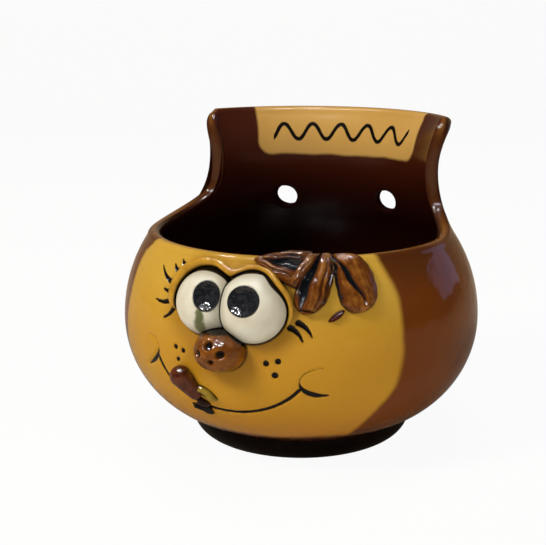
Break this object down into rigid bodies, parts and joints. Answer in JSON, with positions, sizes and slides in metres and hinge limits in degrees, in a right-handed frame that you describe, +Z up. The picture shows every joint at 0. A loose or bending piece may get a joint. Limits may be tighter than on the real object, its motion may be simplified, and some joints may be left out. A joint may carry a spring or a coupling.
{
  "type": "salt pig",
  "caption": "Round glazed stoneware salt pig with its front cut away, a tall back wall with hanging holes and an applied comic face.",
  "frame": {"origin": "middle of the flat underside of the foot, on the pot's axis", "axes": "+Z up along the pot's axis; the face looks towards -Y; the back wall stands at +Y; +X is the viewer's right when facing the face"},
  "size_m": [0.13, 0.1409, 0.116],
  "materials": {
    "yellow_glaze": "gloss",
    "brown_glaze": "gloss",
    "dark_glaze": "gloss",
    "cream_glaze": "gloss",
    "black_glaze": "gloss",
    "red_brown_glaze": "gloss"
  },
  "bodies": {
    "root": {"bowl": "yellow_glaze", "foot": "dark_glaze", "back_wall": "brown_glaze", "left_eye": "cream_glaze", "right_eye": "cream_glaze", "left_pupil": "black_glaze", "right_pupil": "black_glaze", "eyelid_roll": "yellow_glaze", "nose": "red_brown_glaze", "forelock_pleat": "red_brown_glaze", "forelock_small_curl": "red_brown_glaze", "forelock_curl": "red_brown_glaze", "forelock_leaf": "red_brown_glaze", "forelock_crumb": "dark_glaze", "bud": "red_brown_glaze", "bud_stalk": "yellow_glaze", "bud_upper_sepal": "black_glaze", "bud_lower_sepal": "black_glaze"}
  },
  "joints": []
}
